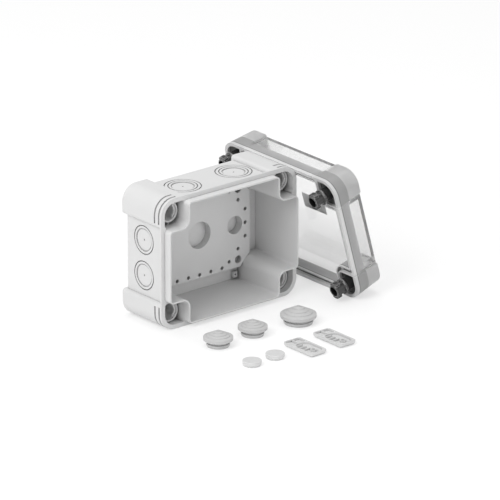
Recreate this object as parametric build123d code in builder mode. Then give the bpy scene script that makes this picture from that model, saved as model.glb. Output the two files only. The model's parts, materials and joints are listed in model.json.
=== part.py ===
"""Surface-mounted cable junction box with a clear lid, taken off and leaned beside it.

The box stands on one long side, with its opening towards -Y. The clear lid stands on
the floor at its right and leans on it, with the four quarter-turn screws still held in
the lid. The grommets, hole caps and fixing lugs that belong to the box lie in front.
The origin is on the floor, in the middle of the lower edge of the box's rim flange.
All sizes are in millimetres.
"""

import os
from math import cos, radians, sin, sqrt

from build123d import *

os.makedirs("parts", exist_ok=True)

# Outline that the box and the lid share, seen from the front
LENGTH = 185.0
HEIGHT = 146.0
CORNER_RADIUS = 18.0
BUMP_LENGTH = 36.0
BUMP_HEIGHT = 31.0
BUMP_EDGE_RADIUS = 3.6

# Box
DEPTH = 68.5
FOOT_HEIGHT = 6.5
FOOT_CHAMFER = 3.4
WALL_RECESS = 4.8
FLANGE_DEPTH = 2.0
FLARE_DEPTH = 6.0
RIM_WIDTH = 4.8
LIP_THICKNESS = 1.6
LIP_HEIGHT = 9.0
CAVITY_DRAFT = 2.0
BACK_THICKNESS = 3.5

# Sealing line, which passes round the four screw corners
NOTCH_REACH_X = 31.0
NOTCH_REACH_Z = 33.0
NOTCH_RADIUS = 9.0
NOTCH_END_RADIUS = 3.8

# Raised mounting field in the back of the box
FIELD_MARGIN_X = 23.5
FIELD_MARGIN_Z = 24.3
FIELD_CUT = 13.4
FIELD_RISE = 9.0
FIELD_SLOPE = 2.7
FIELD_SKIN = 3.0
PILOT_PITCH = 15.4
PILOT_RADIUS = 2.1
PILOT_DEPTH = 6.5
PILOT_BOSS_RADIUS = 4.0
PILOT_EDGE = 3.9
PILOT_SIDE_EDGE = 6.2
DIMPLE_RADIUS = 15.0
SIDE_DIMPLE_RADIUS = 10.2
SIDE_DIMPLE_INSET = 20.5
DIMPLE_DEPTH = 8.5
SIDE_DIMPLE_DEPTH = 9.8
DIMPLE_WALL = 3.0
FIXING_INSET_X = 16.0
FIXING_INSET_Z = 8.7
FIXING_PILOT_STEP = 12.3
FIXING_RADIUS = 2.75
FIXING_HEAD_RADIUS = 4.4
FIXING_HEAD_DEPTH = 6.0
FIXING_BOSS_RADIUS = 6.4
PEG_X = 53.1
PEG_INSET_Z = 14.6
PEG_LENGTH = 5.2
PEG_HEIGHT = 6.5
PEG_RISE = 4.5
PEG_HOLE_RADIUS = 1.1
PEG_HOLE_DEPTH = 3.5

# Screw sockets in the corners of the box
SCREW_INSET = 17.2
POCKET_DEPTH = 14.0
POCKET_WALL = 1.8
SOCKET_WALL = 1.8
SOCKET_CLEARANCE = 0.4
SOCKET_DEPTH = 26.0
SOCKET_RIBS = 8
SOCKET_RIB = 1.3
SOCKET_RIB_DROP = 1.8
LEDGE_DROP = 1.6
LEDGE_THICKNESS = 2.4
LEDGE_CLEARANCE = 0.4
POST_WALL = 6.0
POST_CORE_REACH_X = 28.0
POST_CORE_REACH_Z = 26.0
POST_CORE_END = 32.0

# Short grooves round the outer corners
GROOVE_WIDTH = 2.3
GROOVE_CUT = 1.8
GROOVE_REACH_X = 23.0
GROOVE_REACH_Z = 26.5
GROOVE_DEPTHS = (4.4, 11.2)

# Knockouts: radii of the metric cable entries, and where they lie
ENTRY_M25 = 12.75
ENTRY_M32 = 16.25
ENTRY_M40 = 20.25
ENTRY_DEPTH = 35.0
ENTRY_PITCH_LONG = 69.4
ENTRY_PITCH_SHORT = 39.8
RING_WIDTH = 1.2
RING_CUT = 1.3
DISC_SINK = 0.8
CENTRE_MARK_RADIUS = 1.2
CENTRE_MARK_DEPTH = 1.5

# Lid
LID_DEPTH = 34.0
LID_TOP = 2.8
LID_FLANGE = 4.0
LID_SLOPE_END = 17.0
LID_WALL_INSET = 3.6
LID_TOP_INSET = 4.6
LID_WALL = 2.6
LID_BUMP_DRAFT = 4.0
LID_EDGE_RADIUS = 2.0
LID_SKIRT = 3.8
SEAL_GROOVE_HALF = 2.0
SEAL_GROOVE_DEPTH = 10.0
SEAL_RIB = 1.5
SEAL_RIB_START = 2.0
GASKET_THICKNESS = 2.3
GASKET_CLEARANCE = 0.1
LID_BOSS_RADIUS = 10.5
LID_BOSS_START = 13.0

# Lid as it stands against the box
LEAN = 15.5
SWING = -0.5
LEAN_GAP = 0.3
LID_AHEAD = 64.0

# Quarter-turn lid screw, measured from the rim plane of the lid
SCREW_REACH = 19.0
BARREL_RADIUS = 6.9
BARREL_CHAMFER = 0.7
BARREL_BORE_RADIUS = 5.6
BARREL_BORE_DEPTH = 11.0
CAM_START = 1.0
CAM_THICKNESS = 5.6
CAM_RADIUS = 9.1
CAM_WIDTH = 9.0
CAM_SLOPE = 14.0
CAM_RAMP = 1.1
STOP_START = 7.2
STOP_THICKNESS = 1.8
STOP_RADIUS = 8.8
SHAFT_RADIUS = 4.95
SHAFT_CLEARANCE = 0.05
HEAD_RADIUS = 7.6
HEAD_THICKNESS = 4.2
HEAD_SINK = 0.6
HEAD_CLEARANCE = 0.3
SLOT_WIDTH = 2.0
SLOT_LENGTH = 11.0
SLOT_DEPTH = 2.2
COLLAR_RADIUS = 7.2
COLLAR_CLEARANCE = 0.05
COLLAR_START = -3.6
COLLAR_END_GAP = 0.6
SCREW_SEAL_RADIUS = 7.2
SCREW_SEAL_THICKNESS = 1.4
SCREW_SEAL_GAP = 0.05

# Loose pieces on the floor
GROMMET_GRIP = 3.5
GROMMET_RING = 3.7
GROMMET_FLANGE = 3.2
GROMMET_WALL = 1.6
GROMMET_GROOVE = 1.4
GROMMET_OVERLAP = 3.0
GROMMET_TIP_RADIUS = 2.0
GROMMET_STEPS = 4
GROMMET_STEP_RISE = 0.6
GROMMET_FIT = 0.4
GROMMET_M25_DOME = 6.8
GROMMET_M32_DOME = 8.8
CAP_THICKNESS = 5.6
CAP_FIT = 0.1
CAP_TAPER = 1.2
CAP_HOLLOW = 2.4
LUG_LENGTH = 46.0
LUG_WIDTH = 22.5
LUG_THICKNESS = 5.0
LUG_CORNER = 3.5
LUG_BEVEL = 2.4
LUG_BORDER = 1.8
LUG_POCKET = 2.0
LUG_BAR = 1.6
LUG_FOOT_LENGTH = 11.0
LUG_RIB = 1.4
LUG_RIB_PITCH = 6.0
LUG_HOLE_RADIUS = 2.1
LUG_BOSS_WALL = 1.3
LUG_TURN = 0.0

GROMMET_M25_PLACES = ((-70.7, -67.8), (-22.8, -66.6))
GROMMET_M32_PLACE = (36.8, -70.4)
CAP_PLACES = ((-78.7, -132.6), (-47.3, -132.4))
LUG_PLACES = ((-8.7, -135.4), (32.0, -134.5))

# Planes parallel to the rims: x runs along the long side, y up the short side
rim_y = -FLANGE_DEPTH / 2
RIM = Plane(origin=(0, rim_y, HEIGHT / 2), x_dir=(1, 0, 0), z_dir=(0, -1, 0))
FLARE_END = FLANGE_DEPTH + FLARE_DEPTH
WALL_DEPTH = DEPTH - FOOT_HEIGHT
FLOOR_DEPTH = WALL_DEPTH - BACK_THICKNESS
FIELD_DEPTH = FLOOR_DEPTH - FIELD_RISE
NOTCH_X, NOTCH_Z = LENGTH / 2 - NOTCH_REACH_X, HEIGHT / 2 - NOTCH_REACH_Z
FIELD_LENGTH, FIELD_HEIGHT = LENGTH - 2 * FIELD_MARGIN_X, HEIGHT - 2 * FIELD_MARGIN_Z
SCREW_X, SCREW_Z = LENGTH / 2 - SCREW_INSET, HEIGHT / 2 - SCREW_INSET
SCREW_SPOTS = [(x * SCREW_X, z * SCREW_Z) for z in (-1, 1) for x in (-1, 1)]
SOCKET_BORE_RADIUS = CAM_RADIUS + SOCKET_CLEARANCE
SOCKET_RADIUS = SOCKET_BORE_RADIUS + SOCKET_WALL
LEDGE_RADIUS = BARREL_RADIUS + LEDGE_CLEARANCE
LEDGE_GAP = CAM_WIDTH + 2 * LEDGE_CLEARANCE
# The turned cams of a screw lie just under the ledges when the lid is on
cam_back = SCREW_REACH - CAM_START - CAM_THICKNESS
socket_rise = POCKET_DEPTH + LEDGE_DROP + LEDGE_THICKNESS + LEDGE_CLEARANCE - cam_back

# The lean: the inner edge of the lid's skirt rests on the rounded corner of the box
edge_reach = HEIGHT - LID_SKIRT
edge_height = edge_reach * cos(radians(LEAN))
corner_rise = edge_height - (HEIGHT - CORNER_RADIUS)
corner_side = LENGTH / 2 - CORNER_RADIUS + sqrt(CORNER_RADIUS**2 - corner_rise**2)
foot_x = corner_side + LEAN_GAP + edge_reach * sin(radians(LEAN))
along = Vector(-sin(radians(SWING)), cos(radians(SWING)), 0)
across = Vector(cos(radians(SWING)), sin(radians(SWING)), 0)
up_lid = across * -sin(radians(LEAN)) + Vector(0, 0, cos(radians(LEAN)))
out_of_lid = across * cos(radians(LEAN)) + Vector(0, 0, sin(radians(LEAN)))
lid_centre = (
    Vector(foot_x, rim_y, 0) + along * (LENGTH / 2 - LID_AHEAD) + up_lid * (HEIGHT / 2)
)
LID_RIM = Plane(origin=lid_centre, x_dir=along, z_dir=out_of_lid)


def outline(inset=0.0, mode=Mode.ADD):
    """Rounded outline of box and lid, drawn smaller all round by the inset."""
    RectangleRounded(
        LENGTH - 2 * inset, HEIGHT - 2 * inset, CORNER_RADIUS - inset, mode=mode
    )


def corners_only(reach_x, reach_z):
    """Clear the sketch but for its corners, within these reaches of the outline."""
    Rectangle(LENGTH - 2 * reach_x, 2 * HEIGHT, mode=Mode.SUBTRACT)
    Rectangle(2 * LENGTH, HEIGHT - 2 * reach_z, mode=Mode.SUBTRACT)


def four_vertices(sketch, x, z):
    """The vertices of a sketch at plus or minus x and plus or minus z."""
    return sketch.vertices().filter_by(
        lambda v: abs(abs(v.X) - x) < 0.01 and abs(abs(v.Y) - z) < 0.01
    )


def seal_cross(grow=0.0):
    """Cross-shaped area between the screw corners, larger all round by grow."""
    x, z = NOTCH_X + grow, NOTCH_Z + grow
    with BuildSketch() as cross:
        Rectangle(2 * x, 2 * HEIGHT)
        Rectangle(2 * LENGTH, 2 * z)
        fillet(four_vertices(cross, x, z), NOTCH_RADIUS - grow)
    return cross.sketch


def seal_area(grow=0.0):
    """Area inside the middle of the sealing line, larger all round by grow."""
    x = LENGTH / 2 - RIM_WIDTH - LIP_THICKNESS / 2 + grow
    z = HEIGHT / 2 - RIM_WIDTH - LIP_THICKNESS / 2 + grow
    with BuildSketch() as area:
        add(seal_cross(grow))
        Rectangle(2 * x, 2 * z, mode=Mode.INTERSECT)
        ends = four_vertices(area, NOTCH_X + grow, z) + four_vertices(area, x, NOTCH_Z + grow)
        fillet(ends, NOTCH_END_RADIUS + grow)
    return area.sketch


def field_area(grow=0.0):
    """Mounting field with its four corners cut, larger all round by grow."""
    with BuildSketch() as area:
        Rectangle(FIELD_LENGTH + 2 * grow, FIELD_HEIGHT + 2 * grow)
        chamfer(area.vertices(), FIELD_CUT)
    return area.sketch


def bump_area(inset=0.0):
    """The four raised corners of the outline."""
    x, z = LENGTH / 2 - BUMP_LENGTH, HEIGHT / 2 - BUMP_HEIGHT
    with BuildSketch() as area:
        outline(inset)
        corners_only(BUMP_LENGTH, BUMP_HEIGHT)
        edges = four_vertices(area, x, HEIGHT / 2 - inset)
        edges += four_vertices(area, LENGTH / 2 - inset, z)
        fillet(edges, BUMP_EDGE_RADIUS)
    return area.sketch


def pilot_spots():
    """Centres of the blind screw holes round the mounting field."""
    side = FIELD_LENGTH / 2 - PILOT_SIDE_EDGE
    edge = FIELD_HEIGHT / 2 - PILOT_EDGE
    spots = [(n * PILOT_PITCH, s * edge) for s in (-1, 1) for n in (-2, -1, 0, 1, 2)]
    spots += [(s * side, n * PILOT_PITCH) for s in (-1, 1) for n in (-1, 0, 1)]
    corner_x, corner_z = FIXING_X - FIXING_PILOT_STEP, FIXING_Z - FIXING_PILOT_STEP
    spots += [(a * corner_x, b * FIXING_Z) for a in (-1, 1) for b in (-1, 1)]
    spots += [(a * FIXING_X, b * corner_z) for a in (-1, 1) for b in (-1, 1)]
    return spots


FIXING_X = FIELD_LENGTH / 2 - FIXING_INSET_X
FIXING_Z = FIELD_HEIGHT / 2 - FIXING_INSET_Z
SIDE_DIMPLE_X = FIELD_LENGTH / 2 - SIDE_DIMPLE_INSET
PILOTS = pilot_spots()
FIXINGS = [(a * FIXING_X, b * FIXING_Z) for a in (-1, 1) for b in (-1, 1)]
SIDE_DIMPLES = [(-SIDE_DIMPLE_X, 0), (SIDE_DIMPLE_X, 0)]


def save(piece, name):
    piece.part.label = name
    export_step(piece.part, f"parts/{name}.step")


# Box: flange, flared walls, raised corners and feet, then the cavity and its lip
with BuildPart() as box_body:
    with BuildSketch(RIM):
        outline()
    extrude(amount=-FLANGE_DEPTH)
    with BuildSketch(RIM.offset(-FLANGE_DEPTH)):
        outline()
    with BuildSketch(RIM.offset(-FLARE_END)):
        outline(WALL_RECESS)
    loft()
    with BuildSketch(RIM.offset(-FLARE_END)):
        outline(WALL_RECESS)
    extrude(amount=FLARE_END - WALL_DEPTH)
    with BuildSketch(RIM.offset(-FLANGE_DEPTH)):
        add(bump_area())
    extrude(amount=FLANGE_DEPTH - DEPTH)
    feet = box_body.faces().filter_by(Axis.Y).group_by(Axis.Y)[-1]
    chamfer(feet.edges(), FOOT_CHAMFER)

    with BuildSketch(RIM):
        add(seal_area(-LIP_THICKNESS / 2))
    with BuildSketch(RIM.offset(-FLOOR_DEPTH)):
        add(seal_area(-LIP_THICKNESS / 2 - CAVITY_DRAFT))
    loft(mode=Mode.SUBTRACT)
    with BuildSketch(RIM):
        add(seal_area(LIP_THICKNESS / 2))
        add(seal_area(-LIP_THICKNESS / 2), mode=Mode.SUBTRACT)
    extrude(amount=LIP_HEIGHT)

    # Mounting field, hollow behind but for the bosses and dimple cups
    with BuildSketch(RIM.offset(-FLOOR_DEPTH)):
        add(field_area(FIELD_SLOPE))
    with BuildSketch(RIM.offset(-FIELD_DEPTH)):
        add(field_area())
    loft()
    with BuildSketch(RIM.offset(-WALL_DEPTH)):
        add(field_area(-FIELD_SKIN))
        with Locations(*PILOTS):
            Circle(PILOT_BOSS_RADIUS, mode=Mode.SUBTRACT)
        with Locations(*FIXINGS):
            Circle(FIXING_BOSS_RADIUS, mode=Mode.SUBTRACT)
        Circle(DIMPLE_RADIUS + DIMPLE_WALL, mode=Mode.SUBTRACT)
        with Locations(*SIDE_DIMPLES):
            Circle(SIDE_DIMPLE_RADIUS + DIMPLE_WALL, mode=Mode.SUBTRACT)
    extrude(amount=WALL_DEPTH - FIELD_DEPTH - FIELD_SKIN, mode=Mode.SUBTRACT)
    with BuildSketch(RIM.offset(-FIELD_DEPTH)):
        Circle(DIMPLE_RADIUS)
    extrude(amount=-DIMPLE_DEPTH, mode=Mode.SUBTRACT)
    with BuildSketch(RIM.offset(-FIELD_DEPTH)):
        with Locations(*SIDE_DIMPLES):
            Circle(SIDE_DIMPLE_RADIUS)
    extrude(amount=-SIDE_DIMPLE_DEPTH, mode=Mode.SUBTRACT)
    with BuildSketch(RIM.offset(-FIELD_DEPTH)):
        with Locations(*PILOTS):
            Circle(PILOT_RADIUS)
    extrude(amount=-PILOT_DEPTH, mode=Mode.SUBTRACT)
    with BuildSketch(RIM.offset(-FIELD_DEPTH)):
        with Locations(*FIXINGS):
            Circle(FIXING_HEAD_RADIUS)
    extrude(amount=-FIXING_HEAD_DEPTH, mode=Mode.SUBTRACT)
    with BuildSketch(RIM.offset(-FIELD_DEPTH)):
        with Locations(*FIXINGS):
            Circle(FIXING_RADIUS)
    extrude(amount=FIELD_DEPTH - WALL_DEPTH, mode=Mode.SUBTRACT)

    # Hollow pegs on the floor, beside the field
    peg_spots = [(x * PEG_X, z * (HEIGHT / 2 - PEG_INSET_Z)) for z in (-1, 1) for x in (-1, 1)]
    with BuildSketch(RIM.offset(-FLOOR_DEPTH)):
        with Locations(*peg_spots):
            Rectangle(PEG_LENGTH, PEG_HEIGHT)
    extrude(amount=PEG_RISE)
    with BuildSketch(RIM.offset(PEG_RISE - FLOOR_DEPTH)):
        with Locations(*peg_spots):
            Circle(PEG_HOLE_RADIUS)
    extrude(amount=-PEG_HOLE_DEPTH, mode=Mode.SUBTRACT)

    # Screw corners: open pocket, ribbed socket with its bore, and the core from behind
    with BuildSketch(RIM):
        add(bump_area(RIM_WIDTH))
        outline(WALL_RECESS + POCKET_WALL)
        add(seal_cross(LIP_THICKNESS / 2), mode=Mode.SUBTRACT)
    extrude(amount=-POCKET_DEPTH, mode=Mode.SUBTRACT)
    with BuildSketch(RIM.offset(-POCKET_DEPTH)):
        with Locations(*SCREW_SPOTS):
            with PolarLocations(0, SOCKET_RIBS // 2):
                Rectangle(SOCKET_RIB, HEIGHT / 2)
        with BuildSketch(mode=Mode.INTERSECT):
            outline(RIM_WIDTH - SOCKET_RIB / 2)
            add(seal_cross(LIP_THICKNESS / 2 - SOCKET_RIB / 2), mode=Mode.SUBTRACT)
    extrude(amount=socket_rise - SOCKET_RIB_DROP)
    with BuildSketch(RIM.offset(-POCKET_DEPTH)):
        with Locations(*SCREW_SPOTS):
            Circle(SOCKET_RADIUS)
    extrude(amount=socket_rise)
    with BuildSketch(RIM):
        with Locations(*SCREW_SPOTS):
            Circle(SOCKET_BORE_RADIUS)
    extrude(amount=-SOCKET_DEPTH, mode=Mode.SUBTRACT)
    with BuildSketch(RIM.offset(socket_rise - POCKET_DEPTH - LEDGE_DROP)):
        with Locations(*SCREW_SPOTS):
            Circle(SOCKET_RADIUS - SOCKET_WALL / 2)
            Circle(LEDGE_RADIUS, mode=Mode.SUBTRACT)
            Rectangle(LEDGE_GAP, 2 * SOCKET_BORE_RADIUS, mode=Mode.SUBTRACT)
    extrude(amount=-LEDGE_THICKNESS)
    with BuildSketch(RIM.offset(-DEPTH)):
        outline(POST_WALL)
        corners_only(POST_CORE_REACH_X, POST_CORE_REACH_Z)
    extrude(amount=DEPTH - POST_CORE_END, mode=Mode.SUBTRACT)

    # Grooves round the outer corners
    for depth in GROOVE_DEPTHS:
        with BuildSketch(RIM.offset(GROOVE_WIDTH / 2 - depth)):
            outline()
            outline(GROOVE_CUT, mode=Mode.SUBTRACT)
            corners_only(GROOVE_REACH_X, GROOVE_REACH_Z)
        extrude(amount=-GROOVE_WIDTH, mode=Mode.SUBTRACT)

    # Knockouts in the four recessed walls
    entry_y = rim_y + ENTRY_DEPTH
    wall_x, wall_z = LENGTH / 2 - WALL_RECESS, HEIGHT / 2 - WALL_RECESS
    middle = Vector(0, entry_y, HEIGHT / 2)
    walls = []
    for side in (-1, 1):
        floor_or_top = Plane(middle + (0, 0, side * wall_z), x_dir=(1, 0, 0), z_dir=(0, 0, side))
        left_or_right = Plane(middle + (side * wall_x, 0, 0), x_dir=(0, side, 0), z_dir=(side, 0, 0))
        walls.append((floor_or_top, (ENTRY_PITCH_LONG, 0), (ENTRY_M25, ENTRY_M32, ENTRY_M40)))
        walls.append((left_or_right, (0, ENTRY_PITCH_SHORT), (ENTRY_M25, ENTRY_M32)))
    for wall, (pitch_x, pitch_y), radii in walls:
        spots = [(-pitch_x / 2, -pitch_y / 2), (pitch_x / 2, pitch_y / 2)]
        with BuildSketch(wall):
            with Locations(*spots):
                for radius in reversed(radii):
                    Circle(radius)
                    Circle(radius - RING_WIDTH, mode=Mode.SUBTRACT)
        extrude(amount=-RING_CUT, mode=Mode.SUBTRACT)
        with BuildSketch(wall):
            with Locations(*spots):
                Circle(ENTRY_M25)
        extrude(amount=-DISC_SINK, mode=Mode.SUBTRACT)
        with BuildSketch(wall):
            with Locations(*spots):
                RegularPolygon(CENTRE_MARK_RADIUS, 3)
                RegularPolygon(CENTRE_MARK_RADIUS, 3, rotation=180)
        extrude(amount=-CENTRE_MARK_DEPTH, mode=Mode.SUBTRACT)
save(box_body, "box_body")

# Lid: flange, sloped shoulder, inset walls and raised corners, all hollow
seal_gap = SEAL_GROOVE_HALF + SEAL_RIB
lid_inside = LID_DEPTH - LID_TOP
ledge_top = SEAL_GROOVE_DEPTH + LID_WALL
with BuildPart() as lid:
    with BuildSketch(LID_RIM):
        outline()
    extrude(amount=LID_FLANGE)
    with BuildSketch(LID_RIM.offset(LID_FLANGE)):
        outline()
    with BuildSketch(LID_RIM.offset(LID_SLOPE_END)):
        outline(LID_WALL_INSET)
    loft()
    with BuildSketch(LID_RIM.offset(LID_SLOPE_END)):
        outline(LID_WALL_INSET)
    with BuildSketch(LID_RIM.offset(LID_DEPTH)):
        outline(LID_TOP_INSET)
    loft()
    with BuildSketch(LID_RIM.offset(LID_FLANGE)):
        add(bump_area())
    extrude(amount=LID_DEPTH - LID_FLANGE, taper=LID_BUMP_DRAFT)

    with BuildSketch(LID_RIM):
        add(seal_area(-seal_gap))
    extrude(amount=lid_inside, mode=Mode.SUBTRACT)
    # over the ledge that holds the seal groove, the walls are thin
    with BuildSketch(LID_RIM.offset(ledge_top)):
        outline(LID_TOP_INSET + LID_WALL)
        add(seal_cross(-seal_gap), mode=Mode.INTERSECT)
    extrude(amount=lid_inside - ledge_top, mode=Mode.SUBTRACT)
    with BuildSketch(LID_RIM):
        add(seal_area(SEAL_GROOVE_HALF))
        add(seal_area(-SEAL_GROOVE_HALF), mode=Mode.SUBTRACT)
    extrude(amount=SEAL_GROOVE_DEPTH, mode=Mode.SUBTRACT)
    with BuildSketch(LID_RIM):
        add(seal_area(-SEAL_GROOVE_HALF))
    extrude(amount=SEAL_RIB_START, mode=Mode.SUBTRACT)
    with BuildSketch(LID_RIM):
        outline(LID_SKIRT)
        add(seal_cross(seal_gap), mode=Mode.SUBTRACT)
    extrude(amount=lid_inside, mode=Mode.SUBTRACT)

    # Bosses that guide the screws, with the seats for their heads
    with BuildSketch(LID_RIM.offset(LID_BOSS_START)):
        with Locations(*SCREW_SPOTS):
            Circle(LID_BOSS_RADIUS)
    extrude(amount=LID_DEPTH - LID_BOSS_START - LID_TOP / 2)
    with BuildSketch(LID_RIM):
        with Locations(*SCREW_SPOTS):
            Circle(SHAFT_RADIUS + SHAFT_CLEARANCE)
    extrude(amount=LID_DEPTH, mode=Mode.SUBTRACT)
    head_seat = HEAD_SINK + HEAD_THICKNESS + SCREW_SEAL_THICKNESS + SCREW_SEAL_GAP
    with BuildSketch(LID_RIM.offset(LID_DEPTH)):
        with Locations(*SCREW_SPOTS):
            Circle(HEAD_RADIUS + HEAD_CLEARANCE)
    extrude(amount=-head_seat, mode=Mode.SUBTRACT)
save(lid, "lid")

gasket_half = SEAL_GROOVE_HALF - GASKET_CLEARANCE
with BuildPart() as lid_gasket:
    with BuildSketch(LID_RIM.offset(SEAL_GROOVE_DEPTH)):
        add(seal_area(gasket_half))
        add(seal_area(-gasket_half), mode=Mode.SUBTRACT)
    extrude(amount=-GASKET_THICKNESS)
save(lid_gasket, "lid_gasket")

# Lid screws, each with its collar and its seal
head_top = LID_DEPTH - HEAD_SINK
head_under = head_top - HEAD_THICKNESS
collar_end = LID_BOSS_START - COLLAR_END_GAP
for number, (x, z) in enumerate(SCREW_SPOTS, start=1):
    foot = LID_RIM.from_local_coords((x, z, 0))
    SCREW = Plane(origin=foot, x_dir=LID_RIM.x_dir, z_dir=LID_RIM.z_dir)
    SECTION = Plane(origin=foot, x_dir=LID_RIM.x_dir, z_dir=-LID_RIM.y_dir)
    spin = Axis(foot, LID_RIM.z_dir)

    with BuildPart() as lid_screw:
        with BuildSketch(SECTION):
            with BuildLine():
                Polyline(
                    (0, BARREL_BORE_DEPTH - SCREW_REACH),
                    (BARREL_BORE_RADIUS, BARREL_BORE_DEPTH - SCREW_REACH),
                    (BARREL_BORE_RADIUS, -SCREW_REACH),
                    (BARREL_RADIUS - BARREL_CHAMFER, -SCREW_REACH),
                    (BARREL_RADIUS, BARREL_CHAMFER - SCREW_REACH),
                    (BARREL_RADIUS, -STOP_START),
                    (STOP_RADIUS, -STOP_START),
                    (STOP_RADIUS, STOP_THICKNESS - STOP_START),
                    (SHAFT_RADIUS, STOP_THICKNESS - STOP_START),
                    (SHAFT_RADIUS, head_under),
                    (HEAD_RADIUS, head_under),
                    (HEAD_RADIUS, head_top),
                    (0, head_top),
                    close=True,
                )
            make_face()
        revolve(axis=spin)
        with BuildSketch(SCREW.offset(CAM_START - SCREW_REACH)):
            Circle(CAM_RADIUS)
            Rectangle(CAM_WIDTH, 2 * CAM_RADIUS, mode=Mode.INTERSECT)
            Circle(BARREL_RADIUS - BARREL_CHAMFER, mode=Mode.SUBTRACT)
        extrude(amount=CAM_THICKNESS)
        for turn in (0, 180):
            # each cam is a ramp, cut by a slanted plane at its back and at its front
            ramp = SCREW.rotated((0, 0, turn)).rotated((0, CAM_SLOPE, 0))
            for level, way in ((CAM_START + CAM_THICKNESS, 1), (CAM_START, -1)):
                with BuildSketch(ramp.offset(level - SCREW_REACH - way * CAM_RAMP)):
                    with Locations((0, CAM_RADIUS)):
                        Rectangle(2 * CAM_WIDTH, 2 * CAM_RADIUS)
                    Circle(BARREL_RADIUS, mode=Mode.SUBTRACT)
                extrude(amount=way * CAM_THICKNESS, mode=Mode.SUBTRACT)
        with BuildSketch(SCREW.offset(head_top)):
            SlotOverall(SLOT_LENGTH, SLOT_WIDTH)
        extrude(amount=-SLOT_DEPTH, mode=Mode.SUBTRACT)
    save(lid_screw, f"lid_screw_{number}")

    with BuildPart() as screw_collar:
        with BuildSketch(SCREW.offset(COLLAR_START)):
            Circle(COLLAR_RADIUS)
            Circle(SHAFT_RADIUS + COLLAR_CLEARANCE, mode=Mode.SUBTRACT)
        extrude(amount=collar_end - COLLAR_START)
    save(screw_collar, f"screw_collar_{number}")

    with BuildPart() as screw_seal:
        with BuildSketch(SCREW.offset(head_under - SCREW_SEAL_THICKNESS)):
            Circle(SCREW_SEAL_RADIUS)
            Circle(SHAFT_RADIUS + COLLAR_CLEARANCE, mode=Mode.SUBTRACT)
        extrude(amount=SCREW_SEAL_THICKNESS)
    save(screw_seal, f"screw_seal_{number}")


def make_grommet(entry_radius, dome_rise, place):
    """Soft stepped grommet that snaps into a knockout, lying with its dome up."""
    ring = entry_radius - GROMMET_FIT
    neck = ring - GROMMET_GROOVE
    flange = entry_radius + GROMMET_OVERLAP
    grip_top = GROMMET_RING + GROMMET_GRIP
    flange_top = grip_top + GROMMET_FLANGE
    step_run = (flange - GROMMET_TIP_RADIUS) / GROMMET_STEPS
    step_up = dome_rise / GROMMET_STEPS
    outer = [(neck, GROMMET_RING), (neck, grip_top), (flange, grip_top), (flange, flange_top)]
    for step in range(1, GROMMET_STEPS + 1):
        r, z = flange - step * step_run, flange_top + step * step_up
        outer += [(r, z - GROMMET_STEP_RISE), (r, z)]
    hollow = neck - GROMMET_WALL
    section = Plane(origin=(place[0], place[1], 0), x_dir=(1, 0, 0), z_dir=(0, -1, 0))
    with BuildPart() as grommet:
        with BuildSketch(section):
            with BuildLine():
                Polyline(
                    (hollow, 0),
                    (ring - GROMMET_GROOVE / 2, 0),
                    (ring, GROMMET_RING / 2),
                    (ring, GROMMET_RING),
                    *outer,
                    (0, flange_top + dome_rise),
                    (0, flange_top + dome_rise - GROMMET_WALL),
                    (hollow, flange_top - GROMMET_WALL),
                    close=True,
                )
            make_face()
        revolve(axis=Axis((place[0], place[1], 0), (0, 0, 1)))
    return grommet


for number, place in enumerate(GROMMET_M25_PLACES, start=1):
    save(make_grommet(ENTRY_M25, GROMMET_M25_DOME, place), f"grommet_m25_{number}")
save(make_grommet(ENTRY_M32, GROMMET_M32_DOME, GROMMET_M32_PLACE), "grommet_m32")

# Caps that close the dimples over the wall screws
cap_radius = SIDE_DIMPLE_RADIUS - CAP_FIT
for number, (x, y) in enumerate(CAP_PLACES, start=1):
    with BuildPart() as hole_cap:
        with BuildSketch(Plane((x, y, 0))):
            Circle(cap_radius)
        extrude(amount=CAP_THICKNESS)
        chamfer(hole_cap.edges().sort_by(Axis.Z)[0], 2 * CAP_TAPER, CAP_TAPER)
        fillet(hole_cap.edges().sort_by(Axis.Z)[-1], CAP_TAPER / 2)
        with BuildSketch(Plane((x, y, 0))):
            Circle(cap_radius - CAP_TAPER - CAP_HOLLOW)
        extrude(amount=CAP_THICKNESS - CAP_HOLLOW, mode=Mode.SUBTRACT)
    save(hole_cap, f"hole_cap_{number}")

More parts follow.
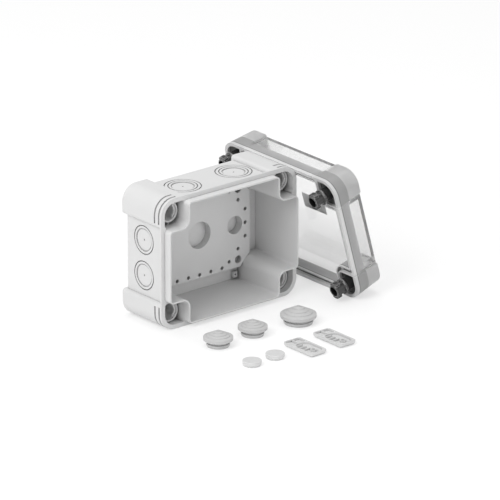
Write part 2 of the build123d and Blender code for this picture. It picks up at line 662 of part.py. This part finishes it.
# Lugs that hold the box from outside: a plug-in foot, a bar and a screw pocket
pocket_width = LUG_WIDTH - 2 * LUG_BORDER
tail_length = LUG_LENGTH - 2 * LUG_BORDER - LUG_FOOT_LENGTH - LUG_BAR
foot_y = LUG_LENGTH / 2 - LUG_BORDER - LUG_FOOT_LENGTH / 2
tail_y = tail_length / 2 + LUG_BORDER - LUG_LENGTH / 2
hole_y = tail_y - tail_length / 2 + LUG_WIDTH / 4 + LUG_HOLE_RADIUS
rib_y = hole_y + LUG_RIB_PITCH
for number, (x, y) in enumerate(LUG_PLACES, start=1):
    base = Plane((x, y, 0)).rotated((0, 0, LUG_TURN))
    with BuildPart() as fixing_lug:
        with BuildSketch(base):
            RectangleRounded(LUG_WIDTH, LUG_LENGTH, LUG_CORNER)
        extrude(amount=LUG_THICKNESS)
        chamfer(fixing_lug.edges().group_by(Axis.Z)[0], LUG_BEVEL)
        with BuildSketch(base.offset(LUG_THICKNESS)):
            with Locations((0, foot_y)):
                RectangleRounded(pocket_width, LUG_FOOT_LENGTH, LUG_CORNER - LUG_BORDER)
                Rectangle(LUG_BAR, LUG_FOOT_LENGTH, mode=Mode.SUBTRACT)
            with Locations((0, tail_y)):
                RectangleRounded(pocket_width, tail_length, pocket_width / 2 - LUG_BORDER)
            with Locations((0, hole_y)):
                Circle(LUG_HOLE_RADIUS + LUG_BOSS_WALL, mode=Mode.SUBTRACT)
            with Locations(*[(-pocket_width / 4, rib_y + n * LUG_RIB_PITCH) for n in (0, 1, 2)]):
                Rectangle(pocket_width / 2, LUG_RIB, mode=Mode.SUBTRACT)
        extrude(amount=-LUG_POCKET, mode=Mode.SUBTRACT)
        with BuildSketch(base):
            with Locations((0, hole_y)):
                Circle(LUG_HOLE_RADIUS)
        extrude(amount=LUG_THICKNESS, mode=Mode.SUBTRACT)
    save(fixing_lug, f"fixing_lug_{number}")
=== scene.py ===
# %% [markdown]
# # A cable junction box and its clear lid
#
# The object is a surface-mounted junction box. It stands on one long side with its opening
# towards us. Its clear lid is off and leans on the box's right corner, with four black
# quarter-turn screws still held in it. Grommets, caps and fixing lugs lie in front.
# The moulded shapes come ready made as the frame. This lesson gives each of them the
# finish of its real plastic, adds a printed marking patch, and then lights and frames the
# set as in a product picture.

import json
import math

import bmesh
import bpy
from mathutils import Matrix, Vector


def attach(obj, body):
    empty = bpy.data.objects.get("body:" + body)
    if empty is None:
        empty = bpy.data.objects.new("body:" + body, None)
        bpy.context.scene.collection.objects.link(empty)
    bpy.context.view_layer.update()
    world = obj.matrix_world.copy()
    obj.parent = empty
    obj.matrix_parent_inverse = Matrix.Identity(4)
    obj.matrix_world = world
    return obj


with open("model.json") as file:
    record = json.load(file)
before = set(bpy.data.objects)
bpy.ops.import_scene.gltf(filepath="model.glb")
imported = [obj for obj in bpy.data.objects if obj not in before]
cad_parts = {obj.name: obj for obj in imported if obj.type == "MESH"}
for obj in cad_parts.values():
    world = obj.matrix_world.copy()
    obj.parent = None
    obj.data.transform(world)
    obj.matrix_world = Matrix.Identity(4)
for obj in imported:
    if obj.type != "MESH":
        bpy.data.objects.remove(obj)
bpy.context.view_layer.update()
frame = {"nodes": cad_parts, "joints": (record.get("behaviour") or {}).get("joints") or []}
nodes = frame["nodes"]
print("pieces in the frame:", len(nodes))

# %% [markdown]
# ## Colours as they are written
#
# Colours are picked as sRGB hex values, the way a paint chart or an image editor shows
# them. Shaders work in linear light, so one function turns a hex value to linear. It is
# used for every colour below, which keeps the chosen greys true in the render.


# %% From hex to linear light
def linear(hex_colour, alpha=1.0):
    """Linear RGBA of an sRGB colour such as 'C8CCCA'."""
    channels = [int(hex_colour[i : i + 2], 16) / 255 for i in (0, 2, 4)]
    return [c / 12.92 if c <= 0.04045 else ((c + 0.055) / 1.055) ** 2.4 for c in channels] + [alpha]


print("light grey in linear light:", [round(c, 3) for c in linear("C8CCCA")])

# %% [markdown]
# ## One way to add a node
#
# A material is a small network. Every network here grows through one function, which
# makes a node, sets its properties and fills its sockets. A socket takes either a plain
# value or the output of another node, so a whole network reads from top to bottom.
# Sockets that share a name, such as the two of a math node, are filled in their order.


# %% Add a node, with its settings and links
def add_node(owner, kind, settings=None, *in_order, **by_name):
    """Add one node; each socket gets a value or another node's output."""
    tree = owner.node_tree
    node = tree.nodes.new(kind)
    for name, value in (settings or {}).items():
        setattr(node, name, value)
    filled = list(zip(node.inputs, in_order))
    for name, value in by_name.items():
        wanted = name.replace("_", " ").lower()
        socket = next(s for s in node.inputs if s.name.lower() == wanted and s.enabled)
        filled.append((socket, value))
    for socket, value in filled:
        if isinstance(value, bpy.types.NodeSocket):
            tree.links.new(value, socket)
        else:
            socket.default_value = value
    return node


def new_material(name):
    """An empty node material, with the surface output ready to be linked."""
    material = bpy.data.materials.new(name)
    material.use_nodes = True
    material.node_tree.nodes.clear()
    return material


# %% [markdown]
# ## Moulded plastic and its three scales
#
# A spark-eroded steel mould leaves a fine matte grain on the part, about 0.1 mm across.
# That is too fine for a picture of the whole box, so it is drawn at 0.5 mm, where it only
# softens the highlights. Over several centimetres the melt flow changes the gloss a
# little, and the colour by a percent or two. Real edges are never sharp either: a small
# radius catches the light. The bevel node gives this radius to the shading alone. The same
# node also places a painted highlight: where the softened direction turns away from the
# true one, a pale colour is mixed into the base colour.
#
# Recesses get painted shade: the base colour is darkened where a spot is shut in. The
# ambient occlusion node finds them, by how open a spot is to the sky within a given
# distance. Narrow grooves are darkened within 1.6 mm, the deep pockets and inner corners
# of the box within 14 mm, and the bore of a hollow screw within 9 mm.
#
# All the moulded materials share this build-up, so one function holds it, and each
# finish below brings its own colours, gloss, grain, edges and recesses.

# %% Recesses and drift
MM = 0.001
DRIFT_MM = 45
GLOSS_DRIFT = 0.05

# Painted shade in recesses: reach in mm, openness where the shade starts and where it is full, and
# its colour
GROOVE_SHADE = (1.6, 0.62, 0.22, "6C6C6C")
POCKET_SHADE = (14, 0.45, 0.15, "BCBCBC")
BORE_SHADE = (9, 0.97, 0.57, "0C0C0C")

# Painted edge highlight: likeness of the softened and the true direction where it starts and where
# it is full, and its share
HIGHLIGHT_STARTS, HIGHLIGHT_FULL, HIGHLIGHT_SHARE = 0.985, 0.85, 0.9
print("recesses are looked for within", [kind[0] for kind in (GROOVE_SHADE, POCKET_SHADE, BORE_SHADE)], "mm")


# %% The build-up of a moulded part
def moulded(name, colours, roughness, grain, edge_mm, ior=1.5, recesses=(GROOVE_SHADE,), edge_highlight=""):
    """A moulded plastic. The grain is its width and depth in mm; an edge colour, when given, is a
    highlight painted on the edges.
    """
    material = new_material(name)
    where = add_node(material, "ShaderNodeTexCoord").outputs["Object"]
    drift = add_node(
        material,
        "ShaderNodeTexNoise",
        Vector=where,
        Scale=1 / (DRIFT_MM * MM),
        Detail=2.0,
        Roughness=0.5,
    ).outputs["Fac"]
    colour = add_node(
        material,
        "ShaderNodeMix",
        {"data_type": "RGBA"},
        Factor=drift,
        A=linear(colours[1]),
        B=linear(colours[0]),
    ).outputs["Result"]
    # Painted shade: the colour is darkened where a spot is shut in by nearby walls
    for reach_mm, starts, full, painted_shade in recesses:
        openness = add_node(
            material,
            "ShaderNodeAmbientOcclusion",
            {"samples": 6, "only_local": True},
            Distance=reach_mm * MM,
        )
        depth = add_node(
            material,
            "ShaderNodeMapRange",
            Value=openness.outputs["AO"],
            From_Min=starts,
            From_Max=full,
        )
        colour = add_node(
            material,
            "ShaderNodeMix",
            {"data_type": "RGBA", "blend_type": "MULTIPLY"},
            Factor=depth.outputs["Result"],
            A=colour,
            B=linear(painted_shade),
        ).outputs["Result"]

    soft_edge = add_node(material, "ShaderNodeBevel", {"samples": 4}, Radius=edge_mm * MM)
    # Painted highlight: a pale colour mixed into the base colour at the edges
    if edge_highlight:
        likeness = add_node(
            material,
            "ShaderNodeVectorMath",
            {"operation": "DOT_PRODUCT"},
            soft_edge.outputs["Normal"],
            add_node(material, "ShaderNodeNewGeometry").outputs["True Normal"],
        )
        edge = add_node(
            material,
            "ShaderNodeMapRange",
            Value=likeness.outputs["Value"],
            From_Min=HIGHLIGHT_STARTS,
            From_Max=HIGHLIGHT_FULL,
            To_Max=HIGHLIGHT_SHARE,
        )
        colour = add_node(
            material,
            "ShaderNodeMix",
            {"data_type": "RGBA"},
            Factor=edge.outputs["Result"],
            A=colour,
            B=linear(edge_highlight),
        ).outputs["Result"]

    gloss = add_node(
        material,
        "ShaderNodeMapRange",
        Value=drift,
        To_Min=roughness - GLOSS_DRIFT,
        To_Max=roughness + GLOSS_DRIFT,
    )
    grain_mm, grain_depth_mm = grain
    pores = add_node(
        material, "ShaderNodeTexNoise", Vector=where, Scale=1 / (grain_mm * MM), Detail=3.0
    )
    bump = add_node(
        material,
        "ShaderNodeBump",
        Height=pores.outputs["Fac"],
        Strength=1.0,
        Distance=grain_depth_mm * MM,
        Normal=soft_edge.outputs["Normal"],
    )
    shader = add_node(
        material,
        "ShaderNodeBsdfPrincipled",
        Base_Color=colour,
        Roughness=gloss.outputs["Result"],
        Normal=bump.outputs["Normal"],
        IOR=ior,
    )
    add_node(material, "ShaderNodeOutputMaterial", Surface=shader.outputs["BSDF"])
    return material


# %% [markdown]
# ## The finishes of the opaque pieces
#
# - The box is injection-moulded polycarbonate and ABS in light grey. It is satin, so the
#   eye sees soft gradients and no mirror images.
# - The screws are glass-filled polyamide, moulded in black. They are a little shinier,
#   their edges carry a painted pale highlight, and their bore gets painted dark shade.
# - The collars and the seals are black rubber, almost without gloss.
# - The gasket is poured polyurethane foam, white and dull with open cells.
# - The grommets are soft thermoplastic elastomer: pale grey, very matte.
# - Caps and lugs are polypropylene, which is waxy and a touch lighter than the box.

# %% Opaque materials
# The box gets painted shade in its grooves, deep pockets and inner corners
box_plastic = moulded(
    "pc_abs_light_grey_moulded",
    ("D2D2D2", "CCCCCC"),
    roughness=0.48,
    grain=(0.5, 0.012),
    edge_mm=0.5,
    recesses=(GROOVE_SHADE, POCKET_SHADE),
)
# The screws get painted dark shade in the bore and painted pale highlights on the edges
screw_plastic = moulded(
    "polyamide_black_moulded",
    ("303030", "282828"),
    roughness=0.22,
    grain=(0.5, 0.006),
    edge_mm=0.7,
    ior=1.53,
    recesses=(BORE_SHADE,),
    edge_highlight="DCDCDC",
)
collar_rubber = moulded(
    "epdm_black_moulded", ("1A1A1A", "141414"), roughness=0.7, grain=(0.6, 0.02), edge_mm=0.2
)
gasket_foam = moulded(
    "polyurethane_foam_white_poured",
    ("E6E6E6", "DEDEDE"),
    roughness=0.85,
    grain=(0.7, 0.08),
    edge_mm=0.3,
)
grommet_soft = moulded(
    "tpe_pale_grey_moulded",
    ("BFBFBF", "B7B7B7"),
    roughness=0.6,
    grain=(0.5, 0.01),
    edge_mm=0.35,
    ior=1.45,
)
cap_plastic = moulded(
    "polypropylene_grey_moulded",
    ("D0D0D0", "C9C9C9"),
    roughness=0.45,
    grain=(0.5, 0.01),
    edge_mm=0.3,
)
print("opaque materials:", [material.name for material in bpy.data.materials])

# %% [markdown]
# ## Where the lid stands
#
# The lid leans, so nothing on it follows the axes of the set. Its own directions are read
# from its four screws, which stand at the corners of a rectangle: along it, up it, and out
# of its face. The material and the patch on the lid both use them.

# %% The lid's own directions, read from its screws
turns = {joint["name"]: joint for joint in frame["joints"]}
feet = [Vector(turns[f"screw_{n}_turn"]["pos_m"]) for n in (1, 2, 3, 4)]
lid_along = (feet[1] - feet[0]).normalized()
lid_up = (feet[2] - feet[0]).normalized()
lid_out = Vector(turns["screw_1_turn"]["axis"]).normalized()
lid_middle = sum(feet, Vector()) / 4
lid_place = Matrix((lid_along, lid_up, lid_out)).transposed().to_4x4()
lid_place.translation = lid_middle
print("the lid leans by", round(math.degrees(math.asin(lid_out.z)), 1), "degrees")

# %% [markdown]
# ## The clear lid
#
# The lid is moulded in clear polycarbonate. Its walls are polished in the mould, and they
# show the white surround through themselves, with thin grey lines along the edges. Its
# four corners are frosted, which hides the screw heads and the seals: there it looks like
# milk glass. A mask, worked out along the lid and up the lid, tells the two apart.
#
# Out of its rim the lid's look changes too, and these changes are painted into its colour.
# The rim is painted as a light, milky strip, a painted light for the light that runs inside
# the clear walls and leaves at their ends. A thin painted dark line closes it. Then comes
# the sloped band that carries the seal groove: it is thick and full of edges, and its grey
# is painted shade. A colour ramp holds these painted tones, with stops at real distances
# from the rim, and the alpha of each stop says how much of the light goes through.
#
# The mesh has its true wall thickness, so real refraction is used and no trick with alpha.
# The index of polycarbonate is 1.585. It is lowered here, because the closed walls of the
# render are crossed many times more than the eye's ray crosses the real, polished ones.

# %% A mask for the frosted corners
FROST_ALONG_MM, FROST_UP_MM = 58, 43
FROST_BEFORE_MM, FROST_AFTER_MM = 3, 1

lid_plastic = new_material("polycarbonate_clear_moulded")
where = add_node(lid_plastic, "ShaderNodeTexCoord").outputs["Object"]
from_middle = add_node(
    lid_plastic, "ShaderNodeVectorMath", {"operation": "SUBTRACT"}, where, lid_middle
).outputs[0]
reaches = []
for direction, corner_mm in ((lid_along, FROST_ALONG_MM), (lid_up, FROST_UP_MM)):
    run = add_node(
        lid_plastic, "ShaderNodeVectorMath", {"operation": "DOT_PRODUCT"}, from_middle, direction
    )
    distance = add_node(
        lid_plastic, "ShaderNodeMath", {"operation": "ABSOLUTE"}, run.outputs["Value"]
    )
    reach = add_node(
        lid_plastic,
        "ShaderNodeMapRange",
        Value=distance.outputs[0],
        From_Min=(corner_mm - FROST_BEFORE_MM) * MM,
        From_Max=(corner_mm + FROST_AFTER_MM) * MM,
    )
    reaches.append(reach.outputs["Result"])
frosted = add_node(lid_plastic, "ShaderNodeMath", {"operation": "MINIMUM"}, *reaches).outputs[0]
print("frosted from", [FROST_ALONG_MM, FROST_UP_MM], "mm outwards")

# %% Painted light and shade from the rim to the face
LID_DEPTH = 34
# Distance from the rim in mm, painted grey, and the share of light that goes through
PAINTED_TONES = (
    (0, "F4F4F4", 0.38),
    (LID_DEPTH, "F8F8F8", 0.9),
    (3.5, "F4F4F4", 0.38),
    (3.8, "808080", 0.4),
    (4.4, "808080", 0.4),
    (4.8, "BCBCBC", 0.4),
    (16.4, "B8B8B8", 0.4),
    (17.4, "F8F8F8", 0.9),
)
from_rim = add_node(
    lid_plastic, "ShaderNodeVectorMath", {"operation": "DOT_PRODUCT"}, from_middle, lid_out
)
depth_share = add_node(
    lid_plastic,
    "ShaderNodeMapRange",
    Value=from_rim.outputs["Value"],
    From_Max=LID_DEPTH * MM,
)
painted_tones = add_node(lid_plastic, "ShaderNodeValToRGB", Fac=depth_share.outputs["Result"])
stops = painted_tones.color_ramp.elements
for place, (mm, grey, through) in enumerate(PAINTED_TONES):
    # A new ramp brings its two end stops with it
    stop = stops[place] if place < 2 else stops.new(mm / LID_DEPTH)
    stop.color = linear(grey, through)
print("stops from rim to face:", [round(stop.position * LID_DEPTH, 1) for stop in stops])

# %% Clear and frosted polycarbonate
FLOW_MM, FLOW_DEPTH_MM = 30, 0.03
CLEAR_ROUGHNESS, FROSTED_ROUGHNESS = 0.06, 0.4
FROSTED_CLEARNESS = 0.62
LID_INDEX = 1.35

flow = add_node(
    lid_plastic, "ShaderNodeTexNoise", Vector=where, Scale=1 / (FLOW_MM * MM), Detail=1.0
)
flow_wave = add_node(
    lid_plastic,
    "ShaderNodeBump",
    Height=flow.outputs["Fac"],
    Strength=1.0,
    Distance=FLOW_DEPTH_MM * MM,
)
# The painted light and shade of the ramp, greyed further in the frosted corners
lid_tint_and_painted_tones = add_node(
    lid_plastic,
    "ShaderNodeMix",
    {"data_type": "RGBA", "blend_type": "MULTIPLY"},
    Factor=frosted,
    A=painted_tones.outputs["Color"],
    B=linear("E2E2E2"),
)
haze = add_node(
    lid_plastic,
    "ShaderNodeMapRange",
    Value=frosted,
    To_Min=CLEAR_ROUGHNESS,
    To_Max=FROSTED_ROUGHNESS,
)
passing = add_node(
    lid_plastic, "ShaderNodeMapRange", Value=frosted, To_Min=1.0, To_Max=FROSTED_CLEARNESS
)
clearness = add_node(
    lid_plastic,
    "ShaderNodeMath",
    {"operation": "MULTIPLY"},
    painted_tones.outputs["Alpha"],
    passing.outputs["Result"],
)
lid_shader = add_node(
    lid_plastic,
    "ShaderNodeBsdfPrincipled",
    Base_Color=lid_tint_and_painted_tones.outputs["Result"],
    Roughness=haze.outputs["Result"],
    Normal=flow_wave.outputs["Normal"],
    Transmission_Weight=clearness.outputs[0],
    IOR=LID_INDEX,
)
add_node(lid_plastic, "ShaderNodeOutputMaterial", Surface=lid_shader.outputs["BSDF"])
print("nodes in the lid's material:", len(lid_plastic.node_tree.nodes))

# %% Dress the frame's pieces
FINISH = {
    "box_body": box_plastic,
    "lid": lid_plastic,
    "lid_gasket": gasket_foam,
    "lid_screw": screw_plastic,
    "screw_collar": collar_rubber,
    "screw_seal": collar_rubber,
    "grommet": grommet_soft,
    "hole_cap": cap_plastic,
    "fixing_lug": cap_plastic,
}
for name, piece in nodes.items():
    start = max((key for key in FINISH if name.startswith(key)), key=len)
    for slot in piece.material_slots:
        slot.material = FINISH[start]
print("finishes used:", len(set(FINISH.values())))

# %% [markdown]
# ## The marking patch on the lid
#
# Boxes like this carry a small blank field in the middle of the lid, to write on. It is a
# grey film of 37 by 17.5 mm, 0.2 mm thick, on the outer face, and it shows through the
# clear lid. It could be painted in the lid's material, but a piece of its own keeps crisp
# corners and a finish of its own. Its place is given along and up the lid, from the middle
# of the four screws.

# %% Marking film
PATCH_LENGTH, PATCH_HEIGHT, PATCH_THICKNESS, PATCH_CORNER = 37 * MM, 17.5 * MM, 0.2 * MM, 0.6 * MM
PATCH_ALONG, PATCH_UP = -2.5 * MM, 4 * MM


def piece_from(name, mesh_builder, material, body, matrix):
    """Turn a bmesh into a piece that rides on a body of the frame."""
    mesh = bpy.data.meshes.new(name)
    bmesh.ops.recalc_face_normals(mesh_builder, faces=mesh_builder.faces)
    mesh_builder.to_mesh(mesh)
    mesh_builder.free()
    mesh.transform(matrix)
    mesh.materials.append(material)
    made = bpy.data.objects.new(name, mesh)
    bpy.context.scene.collection.objects.link(made)
    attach(made, body)
    return made


def rounded_plate(length, height, thickness, corner, steps=5):
    """A thin plate in the XY plane with rounded corners."""
    shape = bmesh.new()
    outline = []
    for turn, (sx, sy) in enumerate(((1, 1), (-1, 1), (-1, -1), (1, -1))):
        for step in range(steps + 1):
            angle = math.radians(90 * turn + 90 * step / steps)
            x = sx * (length / 2 - corner) + corner * math.cos(angle)
            y = sy * (height / 2 - corner) + corner * math.sin(angle)
            outline.append(shape.verts.new((x, y, 0)))
    face = shape.faces.new(outline)
    raised = bmesh.ops.extrude_face_region(shape, geom=[face])["geom"]
    bmesh.ops.translate(
        shape, vec=(0, 0, thickness), verts=[v for v in raised if isinstance(v, bmesh.types.BMVert)]
    )
    return shape


film = moulded(
    "pet_film_grey_printed", ("C4C4C4", "BABABA"), roughness=0.55, grain=(0.8, 0.004), edge_mm=0.1
)
piece_from(
    "marking_patch",
    rounded_plate(PATCH_LENGTH, PATCH_HEIGHT, PATCH_THICKNESS, PATCH_CORNER),
    film,
    "lid",
    lid_place @ Matrix.Translation((PATCH_ALONG, PATCH_UP, LID_DEPTH * MM)),
)
print("marking patch:", round(PATCH_LENGTH / MM, 1), "x", round(PATCH_HEIGHT / MM, 1), "mm")

# %% [markdown]
# ## A plain studio
#
# Product pictures of grey plastic use a pale floor that runs into a white surround, one
# large soft light high on the left and a weak fill. The floor is close to white. To the
# camera it also glows a little, so it burns out gently but keeps the soft contact shadows
# that seat the pieces. The world is a flat pale grey for the plastic, and pure white for
# the camera and for rays that pass through the clear lid, so that the lid shows a white
# surround too.

# %% Floor
FLOOR_SIZE = 30
FLOOR_GLOW = 0.55
PAPER_GRAIN_MM, PAPER_DEPTH_MM = 2, 0.02

floor_paint = new_material("floor_paper_white")
paper_grain = add_node(
    floor_paint,
    "ShaderNodeTexNoise",
    Vector=add_node(floor_paint, "ShaderNodeTexCoord").outputs["Object"],
    Scale=1 / (PAPER_GRAIN_MM * MM),
)
paper_bump = add_node(
    floor_paint,
    "ShaderNodeBump",
    Height=paper_grain.outputs["Fac"],
    Strength=0.2,
    Distance=PAPER_DEPTH_MM * MM,
)
paper_shader = add_node(
    floor_paint,
    "ShaderNodeBsdfPrincipled",
    Base_Color=linear("FAFAFA"),
    Roughness=0.9,
    Specular_IOR_Level=0.1,
    Normal=paper_bump.outputs["Normal"],
)
paper_glow = add_node(floor_paint, "ShaderNodeEmission", Color=linear("FFFFFF"), Strength=1.0)
camera_share = add_node(
    floor_paint,
    "ShaderNodeMath",
    {"operation": "MULTIPLY"},
    add_node(floor_paint, "ShaderNodeLightPath").outputs["Is Camera Ray"],
    FLOOR_GLOW,
)
seen_paper = add_node(
    floor_paint,
    "ShaderNodeMixShader",
    None,
    camera_share.outputs[0],
    paper_shader.outputs["BSDF"],
    paper_glow.outputs["Emission"],
)
add_node(floor_paint, "ShaderNodeOutputMaterial", Surface=seen_paper.outputs["Shader"])
bpy.ops.mesh.primitive_plane_add(size=FLOOR_SIZE, location=(0, 0, 0))
floor = bpy.context.object
floor.name = "studio_floor"
floor.data.materials.append(floor_paint)
print("floor:", floor.name)

# %% World
SURROUND_LIGHT, SURROUND_SEEN = 0.62, 1.0

world = bpy.data.worlds.new("studio_surround")
bpy.context.scene.world = world
world.use_nodes = True
world.node_tree.nodes.clear()
rays = add_node(world, "ShaderNodeLightPath")
sees_white = add_node(
    world,
    "ShaderNodeMath",
    {"operation": "MAXIMUM", "use_clamp": True},
    rays.outputs["Is Camera Ray"],
    rays.outputs["Is Transmission Ray"],
)
lit = add_node(world, "ShaderNodeBackground", Color=linear("FFFFFF"), Strength=SURROUND_LIGHT)
seen = add_node(
    world, "ShaderNodeBackground", Color=linear("FFFFFF"), Strength=SURROUND_SEEN
)
both = add_node(
    world, "ShaderNodeMixShader", None, sees_white.outputs[0], lit.outputs[0], seen.outputs[0]
)
add_node(world, "ShaderNodeOutputWorld", Surface=both.outputs[0])
print("world:", world.name)


# %% Lamps
def soft_lamp(name, place, aim, size, power):
    """A square area lamp that points at a spot of the set."""
    light = bpy.data.lights.new(name, "AREA")
    light.size = size
    light.energy = power
    lamp = bpy.data.objects.new(name, light)
    lamp.location = place
    lamp.rotation_euler = (Vector(aim) - Vector(place)).to_track_quat("-Z", "Y").to_euler()
    bpy.context.scene.collection.objects.link(lamp)
    return lamp


soft_lamp("key_high_left", (-1.9, -0.3, 1.9), (0, 0, 0.07), 1.4, 34)
soft_lamp("top_panel", (0.2, 0.4, 2.4), (0, 0, 0.05), 1.6, 16)
soft_lamp("front_fill", (0.5, -2.6, 1.0), (0, 0, 0.07), 1.6, 10)
bpy.context.scene.view_settings.view_transform = "Standard"
print("lamps:", [light.name for light in bpy.data.lights])

# %% [markdown]
# ## The camera
#
# The picture was taken from far away: its parallel edges hardly converge. Its place was
# worked out from the box's corners and gives a lens of 504 mm, seven metres off, turned
# 39.8 degrees to the left of the box's front and looking 20.5 degrees down.

# %% Camera
TURN, TILT = math.radians(-39.8), math.radians(20.55)
LENS_MM, SENSOR_MM = 504, 36
CAMERA_PLACE = (-4.41049, -5.32854, 2.66341)

camera_data = bpy.data.cameras.new("product_camera")
camera_data.lens = LENS_MM
camera_data.sensor_width = SENSOR_MM
camera = bpy.data.objects.new("product_camera", camera_data)
camera.location = CAMERA_PLACE
looking = Vector(
    (-math.sin(TURN) * math.cos(TILT), math.cos(TURN) * math.cos(TILT), -math.sin(TILT))
)
camera.rotation_euler = looking.to_track_quat("-Z", "Y").to_euler()
bpy.context.scene.collection.objects.link(camera)
bpy.context.scene.camera = camera
print("camera looks along", [round(c, 3) for c in looking])
